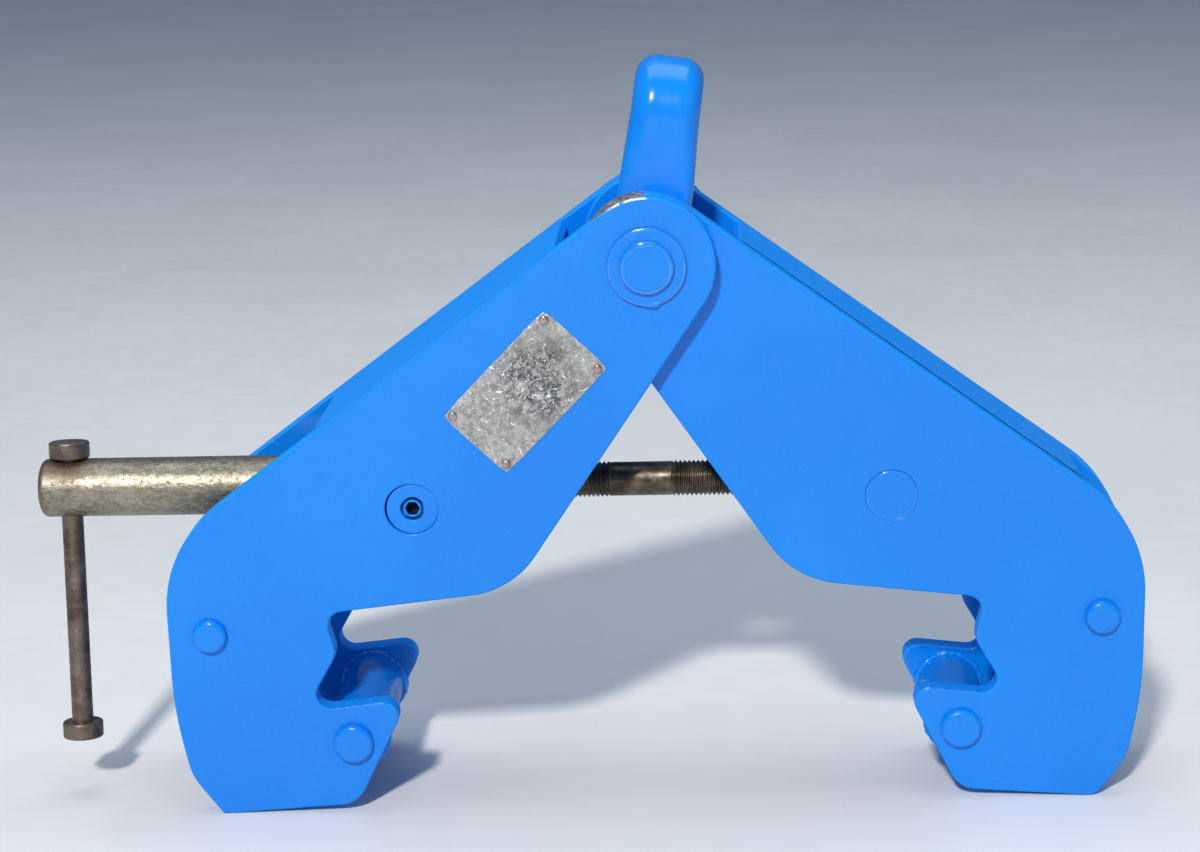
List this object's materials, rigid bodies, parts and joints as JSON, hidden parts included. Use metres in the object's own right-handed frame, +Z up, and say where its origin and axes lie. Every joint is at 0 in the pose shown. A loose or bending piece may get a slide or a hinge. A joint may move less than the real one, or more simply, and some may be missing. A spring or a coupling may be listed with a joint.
{
  "type": "girder clamp",
  "caption": "Screw-adjusted girder clamp with pivoted hooked arms, a left- and right-hand threaded spindle, a tommy-bar handle and a lifting shackle.",
  "frame": {"origin": "centre of the footprint, on the floor under the soles of the hooks", "axes": "+X from the handle towards the right arm along the spindle, +Y from the nameplate side to the back, +Z up"},
  "size_m": [0.614, 0.118, 0.4136],
  "materials": {
    "blue_enamel": "glossy brushed-on enamel",
    "barrel_steel": "worn, tarnished, brownish",
    "screw_steel": "dark, oily",
    "bar_steel": "brown oxidised",
    "plate_aluminium": "scratched and mottled",
    "copper_rivet": "dull, coppery"
  },
  "bodies": {
    "left_arm": {"left_front_plate": "blue_enamel", "left_rear_plate": "blue_enamel", "left_top_strip": "blue_enamel", "left_hook_spacer": "blue_enamel", "left_heel_spacer": "blue_enamel", "left_hook_rivet": "blue_enamel", "left_heel_rivet": "blue_enamel", "nameplate": "plate_aluminium", "nameplate_rivets": "copper_rivet"},
    "right_arm": {"right_front_plate": "blue_enamel", "right_rear_plate": "blue_enamel", "right_top_strip": "blue_enamel", "right_hook_spacer": "blue_enamel", "right_heel_spacer": "blue_enamel", "right_hook_rivet": "blue_enamel", "right_heel_rivet": "blue_enamel"},
    "pivot": {"main_pin": "blue_enamel", "pivot_washer_front": "blue_enamel", "pivot_washer_rear": "blue_enamel", "pivot_bush": "blue_enamel"},
    "left_cross_nut": {"left_trunnion": "blue_enamel", "trunnion_set_screw": "blue_enamel"},
    "right_cross_nut": {"right_trunnion": "blue_enamel"},
    "screw": {"spindle": "screw_steel"},
    "handle": {"handle_barrel": "barrel_steel"},
    "tommy_bar": {"tommy_rod": "bar_steel", "tommy_knob_upper": "bar_steel", "tommy_knob_lower": "bar_steel"},
    "shackle": {"shackle": "blue_enamel"}
  },
  "joints": [
    {"name": "left_arm_swing", "type": "hinge", "parent": "pivot", "child": "left_arm", "pos_m": [0.0385, 0, 0.30855], "axis": [0, -1, 0], "range_deg": [-2, 15.5]},
    {"name": "right_arm_swing", "type": "hinge", "parent": "pivot", "child": "right_arm", "pos_m": [0.0385, 0, 0.30855], "axis": [0, 1, 0], "range_deg": [-2, 15.5]},
    {"name": "left_nut_turn", "type": "hinge", "parent": "left_arm", "child": "left_cross_nut", "pos_m": [-0.0915, 0, 0.17725], "axis": [0, -1, 0], "range_deg": [-15.5, 2]},
    {"name": "right_nut_turn", "type": "hinge", "parent": "right_arm", "child": "right_cross_nut", "pos_m": [0.1685, 0, 0.17725], "axis": [0, 1, 0], "range_deg": [-15.5, 2]},
    {"name": "spindle_slide", "type": "slide", "parent": "left_cross_nut", "child": "screw", "axis": [1, 0, 0], "range_m": [-0.0398, 0.00515]},
    {"name": "handle_turn", "type": "hinge", "parent": "screw", "child": "handle", "pos_m": [-0.2115, 0, 0.17725], "axis": [1, 0, 0], "range_deg": [-735, 5731]},
    {"name": "tommy_bar_slide", "type": "slide", "parent": "handle", "child": "tommy_bar", "axis": [0, 0.1305, 0.9914], "range_m": [0, 0.1168]},
    {"name": "shackle_swing", "type": "hinge", "parent": "pivot", "child": "shackle", "pos_m": [0.0385, 0, 0.30855], "axis": [0, 1, 0], "range_deg": [-55, 40]}
  ],
  "couplings": [
    {"joint": "left_arm_swing", "follows": "handle_turn", "ratio": 0.0027045},
    {"joint": "right_arm_swing", "follows": "handle_turn", "ratio": 0.0027045},
    {"joint": "left_nut_turn", "follows": "handle_turn", "ratio": -0.0027045},
    {"joint": "right_nut_turn", "follows": "handle_turn", "ratio": -0.0027045},
    {"joint": "spindle_slide", "follows": "handle_turn", "m_per_rad": -0.00039789}
  ]
}
